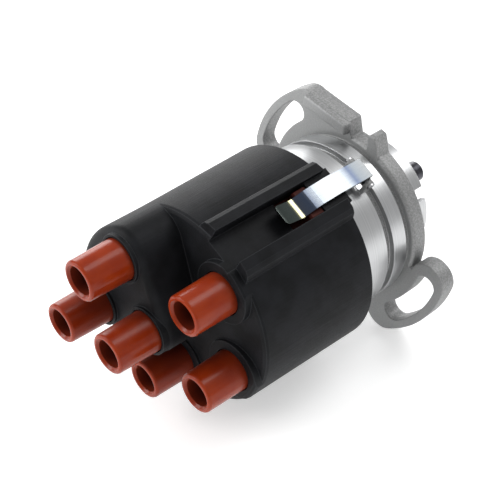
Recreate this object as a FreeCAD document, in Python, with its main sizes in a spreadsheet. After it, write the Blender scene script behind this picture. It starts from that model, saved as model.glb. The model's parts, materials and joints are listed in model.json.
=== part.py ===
import FreeCAD, Part
import math
import os
import re
import Sketcher

# Ignition distributor for a five-cylinder engine, driven from the end of the camshaft.
# Millimetres. Every piece is drawn with the shaft along its own Z, the towers towards +Z and
# Z = 0 at the rear face of the mounting flange, and is then turned so that the towers point
# to -Y and the drive dog to +Y. Angles are counted round the shaft from +X.

os.makedirs("parts", exist_ok=True)
doc = FreeCAD.newDocument("ignition_distributor")
sheet = doc.addObject("Spreadsheet::Sheet", "sizes")

SIZES = {
    # Clearances
    "seat_gap": 0.3,
    "running_gap": 0.03,
    "face_gap": 0.05,
    # Mounting flange with its ears
    "flange_thickness": 7.0,
    "flange_rim": 1.8,
    "flange_front_bevel": 1.0,
    "flange_rear_bevel": 0.4,
    "ear_angle": 121.0,
    "ear_sweep": 46.5,
    "ear_reach": 8.9,
    "ear_half_width": 8.0,
    "slot_angle": 130.1,
    "slot_sweep": 34.4,
    "slot_half_width": 4.5,
    "shoulder_near_angle": 117.5,
    "shoulder_near_rise": 7.5,
    "shoulder_near_step": 4.0,
    "shoulder_far_angle": 91.0,
    "shoulder_far_drop": 2.5,
    "shoulder_far_step": 3.0,
    "flange_root": 2.1,
    "fin_reach": 6.9,
    "fin_waist_reach": 3.2,
    "fin_near_angle": 77.2,
    "fin_near_foot_angle": 75.4,
    "fin_far_angle": 73.6,
    "fin_far_waist_angle": 70.0,
    "fin_far_foot_angle": 64.0,
    "fin_edge": 1.1,
    # Housing above and below the flange
    "neck_step": 1.3,
    "neck_height": 1.6,
    "ring_step": 0.2,
    "ring_height": 7.9,
    "ring_bevel": 0.9,
    "groove_depth": 2.5,
    "groove_height": 4.0,
    "cap_seat_step": 2.3,
    "cup_height": 23.5,
    "cup_wall": 3.1,
    "chamber_floor": 11.0,
    "plate_ledge": 2.6,
    "plate_seat": 21.5,
    "pilot_radius": 26.0,
    "pilot_length": 14.7,
    "pilot_wall": 3.7,
    "pilot_bevel": 0.8,
    "pilot_recess": 3.4,
    "notch_angle": 27.0,
    "notch_width": 5.6,
    "notch_depth": 6.5,
    "hub_radius": 11.5,
    "hub_setback": 1.0,
    "hub_top": 22.0,
    "ring_groove_start": 3.4,
    "ring_groove_width": 2.4,
    "ring_groove_depth": 2.1,
    # Shaft, bushes, seal and what holds them
    "shaft_radius": 6.0,
    "bush_wall": 2.0,
    "bush_length": 12.0,
    "lower_bush_start": 6.9,
    "seal_radius": 9.5,
    "seal_height": 5.0,
    "washer_thickness": 1.0,
    "washer_radius": 10.6,
    "circlip_thickness": 1.2,
    "circlip_radius": 8.4,
    "circlip_seat_depth": 0.9,
    "circlip_opening": 4.0,
    "shaft_top": 54.0,
    # Drive dog
    "dog_radius": 13.8,
    "dog_body_height": 6.8,
    "tongue_radius": 4.4,
    "tongue_height": 8.4,
    "tongue_angle": 46.0,
    "dog_groove_depth": 1.1,
    "dog_pin_radius": 2.0,
    "dog_edge": 1.2,
    # Trigger wheel
    "vane_gap": 1.7,
    "vane_thickness": 0.8,
    "vane_drop": 11.7,
    "vane_sweep": 37.0,
    "trigger_disc_top": 41.2,
    "trigger_disc_thickness": 1.2,
    "trigger_hub_radius": 9.0,
    "trigger_hub_length": 6.0,
    "trigger_pin_radius": 0.9,
    # Sensor plate, sensor and magnet
    "plate_thickness": 1.5,
    "plate_hole_radius": 13.2,
    "plate_screw_angle": 120.0,
    "plate_screw_inset": 4.2,
    "plate_screw_radius": 1.9,
    "plate_screw_head_radius": 3.4,
    "plate_screw_head_height": 2.4,
    "plate_screw_length": 8.0,
    "screw_boss_radius": 4.4,
    "screw_clearance": 0.1,
    "sensor_width": 15.0,
    "sensor_depth": 13.8,
    "sensor_side_gap": 2.2,
    "sensor_base_height": 5.2,
    "sensor_height": 15.0,
    "sensor_leg": 4.9,
    "magnet_thickness": 4.4,
    "magnet_width": 11.0,
    # Connector socket on the side that the photograph hides
    "pad_step": 1.4,
    "pad_width": 25.4,
    "pad_low": 19.6,
    "pad_high": 36.2,
    "socket_flange_thickness": 2.0,
    "socket_flange_width": 24.0,
    "socket_flange_height": 14.4,
    "socket_width": 14.6,
    "socket_height": 11.4,
    "socket_length": 12.5,
    "socket_wall": 1.6,
    "socket_back": 2.2,
    "socket_centre": 28.6,
    "socket_neck_width": 12.6,
    "socket_neck_height": 8.6,
    "blade_width": 2.4,
    "blade_thickness": 0.8,
    "blade_pitch": 4.0,
    "blade_reach": 5.4,
    "blade_tail": 5.6,
    "socket_screw_offset": 9.7,
    "socket_screw_radius": 1.4,
    "socket_screw_head_radius": 2.2,
    "socket_screw_head_height": 1.6,
    "socket_screw_length": 6.0,
    # Dust cover
    "cover_thickness": 1.2,
    "cover_ledge": 1.4,
    "cover_hole_radius": 10.4,
    "cover_rib_radius": 22.0,
    # Inner cap
    "cap_side_gap": 0.8,
    "cap_skirt_step": 0.4,
    "cap_skirt_length": 6.0,
    "cap_wall": 3.8,
    "cap_ceiling": 68.0,
    "cap_ceiling_thickness": 5.0,
    "cap_skirt_gap": 0.25,
    "flat_gap": 0.35,
    "flat_width": 18.6,
    "ledge_rise": 3.35,
    "ledge_width": 12.0,
    "ledge_low": 46.3,
    "ledge_high": 52.6,
    "ledge_bevel": 0.7,
    # Towers
    "lobe_tower_radius": 11.78,
    "tower_angle": 44.74,
    "tower_pitch": 72.0,
    "tower_tip_radius": 8.06,
    "tower_foot_radius": 8.45,
    "tower_shoulder_radius": 9.4,
    "tower_bore_radius": 5.6,
    "tower_bore_depth": 24.0,
    "tower_lip": 0.9,
    "tower_lip_step": 0.3,
    "low_tip": 111.6,
    "high_tip": 130.1,
    # Outer cap shell
    "shell_rear": 36.5,
    "shell_front_radius": 40.9,
    "shell_taper": 1.1,
    "shell_front": 90.8,
    "shell_crown_rise": 2.6,
    "shell_crown_radius": 12.0,
    "shell_side_wall": 2.3,
    "shell_wall": 2.5,
    "shell_edge": 1.6,
    "lobe_front": 110.7,
    "lobe_edge": 3.4,
    "lobe_centre_radius": 10.2,
    "boss_radius": 12.4,
    "boss_front": 93.7,
    "collar_radius": 9.8,
    "collar_rise": 1.3,
    "hole_gap": 0.3,
    # Clip channel and rails on the shell
    "clip_angle": 62.7,
    "channel_width": 13.8,
    "channel_cut": 2.75,
    "channel_floor": 2.05,
    "window_rear": 46.0,
    "window_front": 59.8,
    "bridge_rear": 33.6,
    "bridge_rise": 4.05,
    "bridge_width": 16.0,
    "rail_front": 90.0,
    "rail_rise": 6.55,
    "rail_edge_rise": 5.55,
    "rail_flank_rise": 4.15,
    "rail_foot_rise": 1.85,
    "rail_edge_width": 3.9,
    "rail_flank_width": 5.5,
    "rail_foot_width": 6.3,
    # Spring clips
    "clip_width": 8.4,
    "clip_sheet": 0.9,
    "clip_cheek_sheet": 0.9,
    "clip_pin_reach": 4.4,
    "clip_pin_height": 21.0,
    "clip_pin_radius": 1.2,
    "clip_pin_gap": 0.06,
    "clip_cheek_radius": 2.1,
    "clip_rear_end": 19.4,
    "clip_rear_rise": 5.45,
    "clip_bend_end": 27.4,
    "clip_bend_rise": 5.85,
    "clip_crown_end": 38.0,
    "clip_crown_rise": 6.65,
    "clip_front_end": 46.0,
    "clip_front_rise": 5.95,
    "clip_ridge_end": 49.5,
    "clip_ridge_rise": 5.3,
    "clip_valley_end": 54.4,
    "clip_valley_rise": 3.45,
    "clip_heel_end": 56.2,
    "clip_heel_rise": 3.55,
    "clip_tab_end": 64.2,
    "clip_tab_rise": 5.95,
    "clip_bend_radius": 9.0,
    "clip_hook_radius": 2.6,
    "clip_tab_corner": 1.6,
    "lug_radius": 2.0,
    "lug_root": 1.5,
    "lug_cheek_gap": 0.3,
    "lug_thickness": 1.6,
    "pin_head_radius": 1.8,
    "pin_head_height": 0.7,
    # Rotor arm, contact and carbon brush
    "rotor_angle": 44.74,
    "rotor_start": 41.6,
    "rotor_hub_radius": 8.8,
    "rotor_disc_start": 53.0,
    "rotor_disc_height": 4.6,
    "rotor_disc_radius": 16.5,
    "rotor_arm_reach": 24.2,
    "rotor_arm_width": 12.0,
    "contact_thickness": 1.2,
    "contact_width": 6.0,
    "contact_tip_gap": 0.8,
    "electrode_head_radius": 3.0,
    "electrode_drop": 11.0,
    "electrode_stem_radius": 1.7,
    "electrode_show": 8.0,
    "electrode_seat": 3.0,
    "brush_radius": 2.4,
    "brush_length": 10.0,
    "brush_bore_radius": 2.5,
    "brush_spring_length": 13.0,
    "brush_guide_radius": 4.8,
    "brush_guide_drop": 4.0,
    "spring_wire": 0.45,
    "spring_turns": 4.0,
}

for row, (alias, size) in enumerate(SIZES.items(), start=1):
    sheet.set(f"A{row}", alias)
    sheet.set(f"B{row}", str(size))
    sheet.setAlias(f"B{row}", alias)
doc.recompute()

# Places that follow from the sizes above
DERIVED = {
    "shell_rear_radius": "shell_front_radius + shell_taper",
    "shell_bore_radius": "shell_front_radius - shell_side_wall",
    "cap_wall_radius": "shell_bore_radius - cap_side_gap",
    "cap_skirt_radius": "cap_wall_radius + cap_skirt_step",
    "cap_bore_radius": "cap_wall_radius - cap_wall",
    "cup_radius": "cap_wall_radius - cap_seat_step",
    "ring_radius": "cup_radius - ring_step",
    "groove_radius": "cup_radius - groove_depth",
    "neck_radius": "ring_radius - neck_step",
    "flange_radius": "ring_radius + flange_rim",
    "flange_foot_radius": "flange_radius - flange_root",
    "ear_path_radius": "flange_radius + ear_reach",
    "shoulder_near_radius": "ear_path_radius + shoulder_near_rise",
    "shoulder_far_radius": "ear_path_radius - shoulder_far_drop",
    "fin_tip_radius": "flange_radius + fin_reach",
    "fin_waist_radius": "flange_radius + fin_waist_reach",
    "channel_depth": "shell_front_radius - channel_cut",
    "channel_inner": "channel_depth - channel_floor",
    "bridge_depth": "channel_depth + bridge_rise",
    "rail_height": "channel_depth + rail_rise",
    "flat_depth": "channel_inner - flat_gap",
    "ledge_reach": "channel_depth + ledge_rise",
    "tower_circle": "shell_front_radius - lobe_tower_radius",
    "ring_low": "flange_thickness + neck_height",
    "ring_high": "ring_low + ring_height",
    "cup_low": "ring_high + groove_height",
    "cup_high": "cup_low + cup_height",
    "cup_bore": "cup_radius - cup_wall",
    "chamber_radius": "cup_bore - plate_ledge",
    "sensor_outer": "chamber_radius - sensor_side_gap",
    "sensor_inner": "sensor_outer - sensor_depth",
    "sensor_leg_start": "sensor_outer - sensor_leg",
    "vane_radius": "sensor_leg_start - vane_gap",
    "plate_screw_circle": "chamber_radius - plate_screw_inset",
    "pad_depth": "cup_radius + pad_step",
    "clip_pin_depth": "cup_radius + clip_pin_reach",
    "clip_rear_depth": "channel_depth + clip_rear_rise",
    "lug_foot": "groove_radius - lug_root",
    "bush_radius": "shaft_radius + bush_wall",
    "hub_low": "0 - pilot_length + hub_setback",
    "recess_high": "0 - pilot_length + pilot_recess",
    "pilot_bore": "pilot_radius - pilot_wall",
    "cover_low": "cup_high - cover_thickness",
    "cover_recess": "cup_bore + cover_ledge",
    "plate_high": "plate_seat + plate_thickness",
    "upper_washer_high": "hub_top + face_gap + washer_thickness",
    "circlip_low": "upper_washer_high + face_gap",
    "lower_washer_low": "hub_low - face_gap - washer_thickness",
    "dog_high": "lower_washer_low - face_gap",
    "dog_middle": "dog_high - dog_body_height",
    "dog_low": "dog_middle - tongue_height",
    "tongue_centre": "dog_radius - tongue_radius",
    "dog_pin_height": "dog_high - dog_body_height / 2",
    "shaft_low": "dog_middle",
    "trigger_disc_low": "trigger_disc_top - trigger_disc_thickness",
    "sensor_base_high": "plate_high + sensor_base_height",
    "sensor_high": "plate_high + sensor_height",
    "socket_face": "pad_depth + socket_flange_thickness",
    "socket_mouth": "socket_face + socket_length",
    "shell_inside": "shell_front - shell_wall",
    "lobe_inside": "lobe_front - shell_wall",
    "cap_roof": "cap_ceiling + cap_ceiling_thickness",
    "rotor_disc_high": "rotor_disc_start + rotor_disc_height",
    "contact_high": "rotor_disc_high + contact_thickness",
    "electrode_low": "cap_ceiling - electrode_drop",
    "electrode_high": "cap_ceiling + electrode_seat",
    "contact_reach": "tower_circle - electrode_head_radius - contact_tip_gap",
    "brush_low": "contact_high + seat_gap",
    "brush_high": "brush_low + brush_length",
    "brush_bore_high": "brush_high + brush_spring_length",
    "high_bore_floor": "high_tip - tower_bore_depth",
    "low_bore_floor": "low_tip - tower_bore_depth",
    "lug_aside": "clip_width / 2 + lug_cheek_gap + lug_thickness / 2",
    "lug_span": "2 * lug_aside + lug_thickness",
    "tower_hole": "tower_foot_radius + hole_gap",
}

UPRIGHT = FreeCAD.Rotation(FreeCAD.Vector(1, 0, 0), 90)
SPIN_AXIS = FreeCAD.Vector(0, 0, 1)
LOW_TOWERS = (0, 3, 4)
finished = []


def cells(text):
    """Write a formula of size names as an expression of sheet cells."""
    def swap(match):
        word = match.group(0)
        if word in DERIVED:
            return "(" + cells(DERIVED[word]) + ")"
        return "sizes." + word
    return re.sub(r"\b[a-z]+(?:_[a-z]+)+\b", swap, text)


def number(text):
    """Work out a formula of size names."""
    return float(sheet.evalExpression(cells(text)))


def place(piece, x="0", y="0", z="0", turn="0"):
    """Tie a piece's place, and its turn round the shaft, to formulas."""
    piece.Placement = FreeCAD.Placement(FreeCAD.Vector(), FreeCAD.Rotation(SPIN_AXIS, 1))
    piece.setExpression("Placement.Base.x", cells(x))
    piece.setExpression("Placement.Base.y", cells(y))
    piece.setExpression("Placement.Base.z", cells(z))
    piece.setExpression("Placement.Rotation.Angle", cells(turn))
    return piece


def cylinder(name, radius, low, high, x="0", y="0", sweep=None, turn="0"):
    """A cylinder, or a sector of one, parallel to the shaft."""
    piece = doc.addObject("Part::Cylinder", name)
    piece.setExpression("Radius", cells(radius))
    piece.setExpression("Height", cells(f"({high}) - ({low})"))
    if sweep:
        piece.setExpression("Angle", cells(sweep))
    return place(piece, x, y, low, turn)


def cone(name, low_radius, high_radius, low, high, x="0", y="0"):
    """A cone parallel to the shaft."""
    piece = doc.addObject("Part::Cone", name)
    piece.setExpression("Radius1", cells(low_radius))
    piece.setExpression("Radius2", cells(high_radius))
    piece.setExpression("Height", cells(f"({high}) - ({low})"))
    return place(piece, x, y, low)


def block(name, near, far, width, low, high, turn="0", aside="0"):
    """A box that runs outwards from near to far, centred on the direction turn."""
    piece = doc.addObject("Part::Box", name)
    piece.setExpression("Length", cells(f"({far}) - ({near})"))
    piece.setExpression("Width", cells(width))
    piece.setExpression("Height", cells(f"({high}) - ({low})"))
    side = f"(({aside}) - ({width}) / 2)"
    x = f"({near}) * cos({turn}) - {side} * sin({turn})"
    y = f"({near}) * sin({turn}) + {side} * cos({turn})"
    return place(piece, x, y, low, turn)


def cross_pin(name, radius, length, depth, height, turn):
    """A cylinder square to the shaft, centred beside the direction turn."""
    piece = doc.addObject("Part::Cylinder", name)
    piece.setExpression("Radius", cells(radius))
    piece.setExpression("Height", cells(length))
    return lay_down(piece, turn, FreeCAD.Vector(0, 1, 0), depth, f"(0 - ({length}) / 2)", height)


def lay_down(piece, turn, along, depth, aside, height):
    """Turn an upright piece to a direction square to the shaft and tie its start."""
    along = FreeCAD.Rotation(SPIN_AXIS, number(turn)).multVec(along)
    piece.Placement = FreeCAD.Placement(FreeCAD.Vector(), FreeCAD.Rotation(SPIN_AXIS, along))
    piece.setExpression("Placement.Base.x", cells(f"({depth}) * cos({turn}) - {aside} * sin({turn})"))
    piece.setExpression("Placement.Base.y", cells(f"({depth}) * sin({turn}) + {aside} * cos({turn})"))
    piece.setExpression("Placement.Base.z", cells(height))
    return piece


def outward_pin(name, radius, near, far, turn, aside, height):
    """A cylinder that points away from the shaft in the direction turn."""
    piece = doc.addObject("Part::Cylinder", name)
    piece.setExpression("Radius", cells(radius))
    piece.setExpression("Height", cells(f"({far}) - ({near})"))
    return lay_down(piece, turn, FreeCAD.Vector(1, 0, 0), near, f"({aside})", height)


def outline_sketch(body, name, plane, outline):
    """A closed outline whose corners are tied to formulas, on one of the body's origin planes."""
    sketch = body.newObject("Sketcher::SketchObject", name)
    support = [item for item in body.Origin.OriginFeatures if item.Role == plane][0]
    sketch.AttachmentSupport = [(support, "")]
    sketch.MapMode = "FlatFace"
    corners = [(number(x), number(y)) for x, y in outline]
    count = len(corners)
    for index, corner in enumerate(corners):
        start = FreeCAD.Vector(*corner, 0)
        end = FreeCAD.Vector(*corners[(index + 1) % count], 0)
        sketch.addGeometry(Part.LineSegment(start, end), False)
    for index in range(count):
        sketch.addConstraint(Sketcher.Constraint("Coincident", index, 2, (index + 1) % count, 1))
    for index, (x, y) in enumerate(outline):
        for axis, formula, value in zip(("DistanceX", "DistanceY"), (x, y), corners[index]):
            tie = sketch.addConstraint(Sketcher.Constraint(axis, -1, 1, index, 1, value))
            sketch.setExpression(f"Constraints[{tie}]", cells(formula))
    return sketch


def turned(name, outline):
    """A body of revolution round the shaft from an outline of (radius, height) corners."""
    body = doc.addObject("PartDesign::Body", name)
    sketch = outline_sketch(body, name + "_outline", "XZ_Plane", outline)
    feature = body.newObject("PartDesign::Revolution", name + "_turn")
    feature.Profile = sketch
    feature.ReferenceAxis = (sketch, ["V_Axis"])
    feature.Angle = 360
    sketch.Visibility = False
    return body


def wire_ring(name, radius, wire, height):
    """A ring of wire round the shaft; eight flats stand for the wire's round section."""
    corners = []
    for corner in range(8):
        angle = 22.5 + 45 * corner
        corners.append((f"{radius} + {wire} * cos({angle})", f"{height} + {wire} * sin({angle})"))
    return turned(name, corners)


def prism(name, outline, low, high, turn="0"):
    """A body that stands on a plan outline from one height to another."""
    body = doc.addObject("PartDesign::Body", name)
    sketch = outline_sketch(body, name + "_outline", "XY_Plane", outline)
    feature = body.newObject("PartDesign::Pad", name + "_pad")
    feature.Profile = sketch
    feature.setExpression("Length", cells(f"({high}) - ({low})"))
    place(body, z=low, turn=turn)
    return body


def side_prism(name, outline, width, turn="0"):
    """A body whose (depth, height) outline is centred on the direction turn."""
    body = doc.addObject("PartDesign::Body", name)
    sketch = outline_sketch(body, name + "_outline", "XZ_Plane", outline)
    feature = body.newObject("PartDesign::Pad", name + "_pad")
    feature.Profile = sketch
    feature.Midplane = True
    feature.setExpression("Length", cells(width))
    place(body, turn=turn)
    return body


def fuse(name, pieces):
    joined = doc.addObject("Part::MultiFuse", name)
    joined.Shapes = pieces
    joined.Refine = True
    return joined


def cut(name, base, tools):
    """Take one or more pieces away from another."""
    tool = tools[0] if len(tools) == 1 else fuse(name + "_tools", tools)
    made = doc.addObject("Part::Cut", name)
    made.Base = base
    made.Tool = tool
    made.Refine = True
    return made


def common(name, base, tool):
    made = doc.addObject("Part::Common", name)
    made.Base = base
    made.Tool = tool
    made.Refine = True
    return made


def rounded(name, base, radius, chosen, kind="Part::Fillet"):
    """Round or bevel the edges of a piece that the test accepts."""
    doc.recompute()
    size = number(radius)
    edges = base.Shape.Edges
    wanted = [(index, size, size) for index, edge in enumerate(edges, start=1) if chosen(edge)]
    if not wanted:
        raise RuntimeError("no edge to round on " + name)
    made = doc.addObject(kind, name)
    made.Base = base
    made.Edges = wanted
    return made


def round_edge_at(radius, height, x=0.0, y=0.0):
    """A test for a circular edge of one radius and height round an axis parallel to the shaft."""
    def chosen(edge):
        curve = edge.Curve
        if not isinstance(curve, Part.Circle):
            return False
        centre = curve.Center
        near = math.hypot(centre.x - x, centre.y - y) < 0.01
        return near and abs(curve.Radius - radius) < 0.01 and abs(centre.z - height) < 0.01
    return chosen


def finish(piece, label):
    """Name a finished sub-part and turn it to the object's own frame."""
    piece.Label = label
    ties = {path.lstrip("."): formula for path, formula in piece.ExpressionEngine}
    if "Placement.Base.z" in ties:
        doc.recompute()
    for path in ties:
        if path.startswith("Placement"):
            piece.setExpression(path, None)
    piece.Placement = FreeCAD.Placement(FreeCAD.Vector(), UPRIGHT).multiply(piece.Placement)
    if "Placement.Base.z" in ties:
        piece.setExpression("Placement.Base.x", ties["Placement.Base.x"])
        piece.setExpression("Placement.Base.y", "0 - (" + ties["Placement.Base.z"] + ")")
        piece.setExpression("Placement.Base.z", ties["Placement.Base.y"])
    finished.append(piece)


def kidney(name, half_width, angle, sweep, low, high, inside):
    """A curved slot or ear with round ends, whose middle line is an arc round the shaft."""
    outer = cylinder(name + "_outer", f"ear_path_radius + {half_width}", low, high, sweep=sweep, turn=angle)
    inner = cylinder(name + "_inner", inside, low, high)
    ends = []
    for tag, at in (("_start", angle), ("_end", f"({angle} + {sweep})")):
        x = f"ear_path_radius * cos({at})"
        y = f"ear_path_radius * sin({at})"
        ends.append(cylinder(name + tag, half_width, low, high, x, y))
    return fuse(name, [cut(name + "_band", outer, [inner])] + ends)


def tower_place(index):
    """Where the tower stands, as formulas: towers 0 to 4 on the circle, 5 on the shaft's axis."""
    if index == 5:
        return "0", "0"
    angle = f"(tower_angle + {index} * tower_pitch)"
    return f"tower_circle * cos({angle})", f"tower_circle * sin({angle})"


def tower_heights(index):
    """The names of the height where a tower starts to taper, its tip and its bore floor."""
    if index in LOW_TOWERS:
        return "shell_inside", "low_tip", "low_bore_floor"
    return "lobe_inside", "high_tip", "high_bore_floor"


def housing_profile():
    """Half section of the turned housing, from the hub's lower end round to its top."""
    return [
        ("bush_radius", "hub_low + seal_height + seat_gap"),
        ("seal_radius", "hub_low + seal_height + seat_gap"),
        ("seal_radius", "hub_low"),
        ("hub_radius", "hub_low"),
        ("hub_radius", "recess_high"),
        ("pilot_bore", "recess_high"),
        ("pilot_bore", "0 - pilot_length"),
        ("pilot_radius - pilot_bevel", "0 - pilot_length"),
        ("pilot_radius", "pilot_bevel - pilot_length"),
        ("pilot_radius", "0 - ring_groove_start - ring_groove_width"),
        ("pilot_radius - ring_groove_depth", "0 - ring_groove_start - ring_groove_width"),
        ("pilot_radius - ring_groove_depth", "0 - ring_groove_start"),
        ("pilot_radius", "0 - ring_groove_start"),
        ("pilot_radius", "0"),
        ("flange_radius - flange_rear_bevel", "0"),
        ("flange_radius", "flange_rear_bevel"),
        ("flange_radius", "flange_thickness - flange_front_bevel"),
        ("flange_radius - flange_front_bevel", "flange_thickness"),
        ("neck_radius", "flange_thickness"),
        ("neck_radius", "ring_low"),
        ("ring_radius - ring_bevel", "ring_low"),
        ("ring_radius", "ring_low + ring_bevel"),
        ("ring_radius", "ring_high"),
        ("groove_radius", "ring_high"),
        ("groove_radius", "cup_low"),
        ("cup_radius", "cup_low"),
        ("cup_radius", "cup_high"),
        ("cover_recess", "cup_high"),
        ("cover_recess", "cover_low"),
        ("cup_bore", "cover_low"),
        ("cup_bore", "plate_seat"),
        ("chamber_radius", "plate_seat"),
        ("chamber_radius", "chamber_floor"),
        ("hub_radius", "chamber_floor"),
        ("hub_radius", "hub_top"),
        ("bush_radius", "hub_top"),
    ]


def polar(radius, angle):
    return f"{radius} * cos({angle})", f"{radius} * sin({angle})"


def make_housing():
    """Die-cast housing: pilot, flange with ears, ring, cup, clip lugs and connector pad."""
    turned_body = turned("housing_body", housing_profile())
    ears = []
    slots = []
    for side in range(2):
        turn = f"({180 * side} + ear_angle)"
        ears.append(kidney(f"ear_{side}", "ear_half_width", turn, "ear_sweep", "0", "flange_thickness",
                           "flange_foot_radius"))
        slot_turn = f"({180 * side} + slot_angle)"
        slots.append(kidney(f"slot_{side}", "slot_half_width", slot_turn, "slot_sweep", "0 - face_gap",
                            "flange_thickness + face_gap", "ear_path_radius - slot_half_width"))
    shoulder = prism("flange_shoulder", [
        polar("shoulder_near_radius", "shoulder_near_angle"),
        polar("shoulder_far_radius", "shoulder_far_angle"),
        polar("flange_foot_radius", "(shoulder_far_angle - shoulder_far_step)"),
        polar("flange_foot_radius", "(shoulder_near_angle + shoulder_near_step)"),
        polar("shoulder_near_radius", "(shoulder_near_angle + shoulder_near_step)"),
    ], "0", "flange_thickness")
    fin = prism("flange_fin", [
        polar("flange_foot_radius", "fin_near_foot_angle"),
        polar("fin_tip_radius", "fin_near_angle"),
        polar("fin_tip_radius", "fin_far_angle"),
        polar("fin_waist_radius", "fin_far_waist_angle"),
        polar("flange_foot_radius", "fin_far_foot_angle"),
    ], "0", "flange_thickness")
    fin_round = rounded("flange_fin_round", fin, "fin_edge", is_fin_corner)
    lugs = [clip_lug(f"clip_lug_{side}", f"(clip_angle + {180 * side})") for side in range(2)]
    pad = block("connector_pad", "groove_radius - cup_wall", "pad_depth", "pad_width",
                "pad_low", "pad_high", "180")
    bosses = [screw_boss(side) for side in range(2)]
    solid = fuse("housing_solid", [turned_body] + ears + [shoulder, fin_round, pad] + lugs)
    inside = turned("housing_inside", [
        ("hub_radius", "chamber_floor"), ("chamber_radius", "chamber_floor"),
        ("chamber_radius", "plate_seat"), ("cup_bore", "plate_seat"), ("cup_bore", "cover_low"),
        ("cover_recess", "cover_low"), ("cover_recess", "cup_high"), ("hub_radius", "cup_high")])
    passage = block("connector_passage", "chamber_radius - cup_wall", "pad_depth + face_gap",
                    "socket_neck_width + 2 * seat_gap",
                    "socket_centre - socket_neck_height / 2 - seat_gap",
                    "socket_centre + socket_neck_height / 2 + seat_gap", "180")
    notch = block("pilot_notch", "pilot_bore - pilot_wall", "pilot_radius + face_gap", "notch_width",
                  "0 - pilot_length - face_gap", "notch_depth - pilot_length", "notch_angle")
    pin_holes = [cross_pin(f"clip_pin_hole_{side}", "clip_pin_radius", "lug_span + lug_thickness",
                           "clip_pin_depth", "clip_pin_height", f"(clip_angle + {180 * side})")
                 for side in range(2)]
    screw_holes = []
    for side, tag in ((-1, "left"), (1, "right")):
        screw_holes.append(outward_pin(f"socket_screw_hole_{tag}", "socket_screw_radius",
                                       "pad_depth - socket_screw_length", "pad_depth + face_gap",
                                       "180", f"{side} * socket_screw_offset", "socket_centre"))
    opened = cut("housing_opened", solid, slots + [inside, passage, notch] + pin_holes + screw_holes)
    with_bosses = fuse("housing_with_bosses", [opened] + bosses)
    finish(with_bosses, "housing")


def is_fin_corner(edge):
    """The edges of the fin's tip."""
    limit = number("fin_tip_radius") - 0.01
    return all(math.hypot(vertex.X, vertex.Y) > limit for vertex in edge.Vertexes)


def clip_lug(name, turn):
    """Pair of lugs that carry one clip's hinge pin, rounded about the pin."""
    rear = "clip_pin_height - lug_radius + face_gap"
    front = "clip_pin_height + lug_radius"
    gap = "lug_span - 2 * lug_thickness"
    shank = block(name + "_shank", "lug_foot", "clip_pin_depth", "lug_span", rear, front, turn)
    eye = cross_pin(name + "_eye", "lug_radius", "lug_span", "clip_pin_depth", "clip_pin_height", turn)
    mouth = block(name + "_gap", "cup_radius", "clip_pin_depth + 2 * lug_radius", gap,
                  "clip_pin_height - 2 * lug_radius", "clip_pin_height + 2 * lug_radius", turn)
    return cut(name, fuse(name + "_whole", [shank, eye]), [mouth])


def screw_boss(side):
    """Boss on the chamber floor with the hole of one plate screw."""
    angle = f"(plate_screw_angle + {180 * side})"
    x, y = polar("plate_screw_circle", angle)
    post = cylinder(f"screw_boss_{side}", "screw_boss_radius", "chamber_floor - face_gap", "plate_seat", x, y)
    hole = cylinder(f"screw_boss_hole_{side}", "plate_screw_radius",
                    "plate_high - plate_screw_length - face_gap", "plate_seat + face_gap", x, y)
    return cut(f"screw_post_{side}", post, [hole])


def make_bushes():
    """Sintered bushes pressed into the housing."""
    for label, low in (("lower_bush", "0 - lower_bush_start"), ("upper_bush", "hub_top - bush_length")):
        high = f"({low}) + bush_length"
        ring = turned(label + "_ring", [
            ("shaft_radius + running_gap", low), ("bush_radius", low),
            ("bush_radius", high), ("shaft_radius + running_gap", high)])
        finish(ring, label)


def make_seal():
    """Lip seal in the lower end of the hub."""
    low = "hub_low"
    high = "hub_low + seal_height"
    ring = turned("seal_ring", [
        ("shaft_radius + running_gap", f"{low} + 1.2"), ("shaft_radius + 1.1", f"{low} + 0.4"),
        ("shaft_radius + 1.5", low), ("seal_radius", low), ("seal_radius", high),
        ("shaft_radius + 0.9", high), ("shaft_radius + 0.9", f"{low} + 2.2"),
        ("shaft_radius + running_gap", f"{low} + 1.9")])
    finish(ring, "shaft_oil_seal")


def make_pilot_ring():
    """Rubber O-ring in the groove of the pilot, squeezed level with it as its bore does."""
    wire = "(ring_groove_width / 2 - seat_gap / 2)"
    ring = wire_ring("pilot_ring", f"pilot_radius - ring_groove_depth + {wire}", wire,
                     "0 - ring_groove_start - ring_groove_width / 2")
    finish(ring, "pilot_o_ring")


def make_shaft():
    """Distributor shaft with its circlip seat, cross hole and locating groove."""
    groove = "(shaft_radius - circlip_seat_depth)"
    outline = [
        ("0", "shaft_low"), ("shaft_radius - dog_edge / 2", "shaft_low"),
        ("shaft_radius", "shaft_low + dog_edge / 2"), ("shaft_radius", "circlip_low"),
        (groove, "circlip_low"), (groove, "circlip_low + circlip_thickness + face_gap"),
        ("shaft_radius", "circlip_low + circlip_thickness + face_gap"),
        ("shaft_radius", "shaft_top - dog_edge / 2"), ("shaft_radius - dog_edge / 2", "shaft_top"),
        ("0", "shaft_top")]
    bar = turned("shaft_bar", outline)
    hole = cross_pin("shaft_cross_hole", "dog_pin_radius", "2 * dog_radius", "0", "dog_pin_height", "90")
    groove_x, groove_y = polar("shaft_radius", "rotor_angle")
    seat = cylinder("shaft_pin_seat", "trigger_pin_radius", "trigger_disc_top - trigger_hub_length",
                    "shaft_top + face_gap", groove_x, groove_y)
    finish(cut("shaft", bar, [hole, seat]), "distributor_shaft")


def make_washers():
    """Thrust washers above and below the hub."""
    places = (("upper_thrust_washer", "hub_top + face_gap"), ("lower_thrust_washer", "lower_washer_low"))
    for label, low in places:
        high = f"({low}) + washer_thickness"
        ring = turned(label + "_ring", [
            ("shaft_radius + running_gap", low), ("washer_radius", low),
            ("washer_radius", high), ("shaft_radius + running_gap", high)])
        finish(ring, label)


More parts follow.
